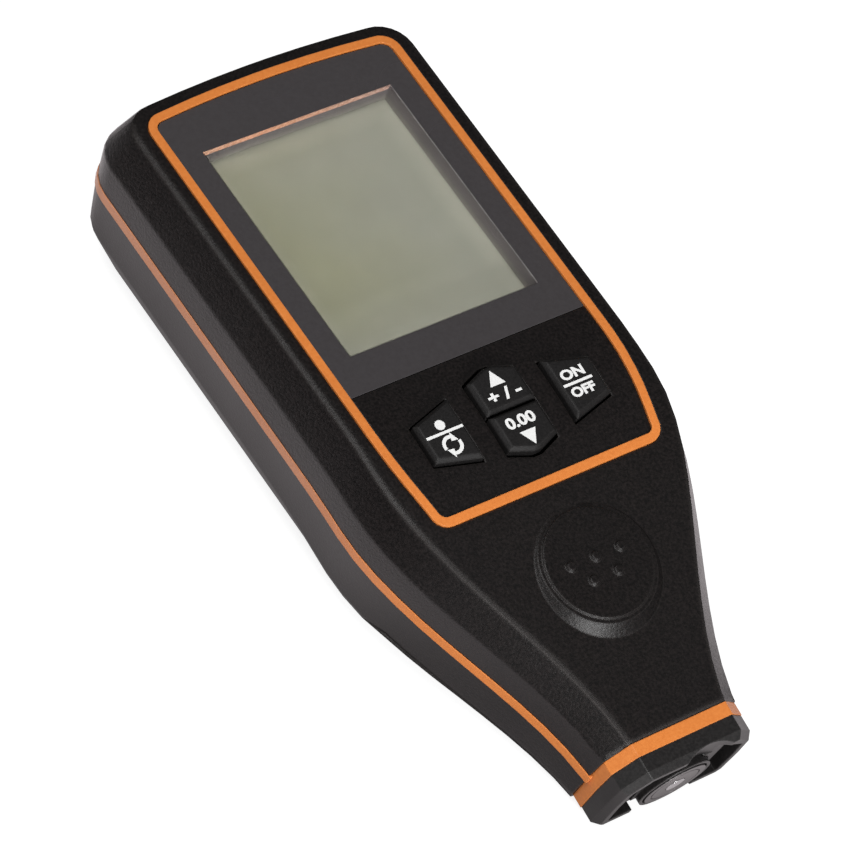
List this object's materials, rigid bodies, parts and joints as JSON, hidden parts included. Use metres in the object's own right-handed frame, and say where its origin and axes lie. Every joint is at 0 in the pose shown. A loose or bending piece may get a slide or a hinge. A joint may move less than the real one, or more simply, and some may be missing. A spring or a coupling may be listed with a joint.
{
  "type": "coating thickness gauge",
  "caption": "Handheld coating thickness gauge: dark two-shell body tapering to a probe nose, display under a lens, push keys, coloured trim, thumb rest, sliding battery door.",
  "frame": {"origin": "centre of the footprint, on the plane that the flat back lies on", "axes": "+Z out of the front face, +Y along the body toward the display end, probe nose toward -Y"},
  "size_m": [0.0548, 0.1212, 0.0298],
  "materials": {
    "shell_black": "fine grained moulding, near black",
    "trim_orange": "moulded orange, satin",
    "lens_dark": "smooth dark overlay with a clear window",
    "lcd": "grey-green reflective display",
    "white_plastic": "white moulding",
    "zebra": "layered contact rubber",
    "board": "green solder mask",
    "tin": "tinned steel",
    "key_rubber": "matt black with white legends",
    "chip": "black epoxy",
    "cell": "plain wrapped cell, no print",
    "spring": "nickel plated wire",
    "nose_black": "satin black",
    "coil_copper": "enamelled copper winding",
    "probe_metal": "ground metal",
    "wire_red": "insulated wire"
  },
  "bodies": {
    "case": {"front_shell": "shell_black", "rear_shell": "shell_black", "trim_frame": "trim_orange", "face_ring": "trim_orange", "lens": "lens_dark", "lcd_glass": "lcd", "lcd_holder": "white_plastic", "zebra_strips": "zebra", "main_pcb": "board", "tact_switches": "tin", "mcu_chip": "chip", "analog_chip": "chip", "buzzer": "chip", "probe_plug": "white_plastic", "pcb_screws": "tin", "case_screws": "tin", "battery_cells": "cell", "contact_springs": "spring", "contact_plates": "spring", "nose_cap": "nose_black", "probe_sleeve": "nose_black", "probe_spring": "spring", "probe_leads": "wire_red"},
    "record_key": {"key_record": "key_rubber"},
    "set_key": {"key_set": "key_rubber"},
    "up_key": {"key_up": "key_rubber"},
    "down_key": {"key_down": "key_rubber"},
    "door": {"battery_door": "shell_black"},
    "probe": {"probe_head": "nose_black", "probe_coil": "coil_copper", "probe_core": "probe_metal", "probe_face": "probe_metal"}
  },
  "joints": [
    {"name": "record_press", "type": "slide", "parent": "case", "child": "record_key", "axis": [0, 0.0946, -0.9955], "range_m": [0, 0.0006], "stiffness_N_per_m": 1500},
    {"name": "set_press", "type": "slide", "parent": "case", "child": "set_key", "axis": [0, 0.0946, -0.9955], "range_m": [0, 0.0006], "stiffness_N_per_m": 1500},
    {"name": "up_press", "type": "slide", "parent": "case", "child": "up_key", "axis": [0, 0.0946, -0.9955], "range_m": [0, 0.0006], "stiffness_N_per_m": 1500},
    {"name": "down_press", "type": "slide", "parent": "case", "child": "down_key", "axis": [0, 0.0946, -0.9955], "range_m": [0, 0.0006], "stiffness_N_per_m": 1500},
    {"name": "door_slide", "type": "slide", "parent": "case", "child": "door", "axis": [0, -1, 0], "range_m": [0, 0.02]},
    {"name": "probe_plunge", "type": "slide", "parent": "case", "child": "probe", "axis": [0, 0.9877, 0.1564], "range_m": [0, 0.0012], "stiffness_N_per_m": 800}
  ]
}
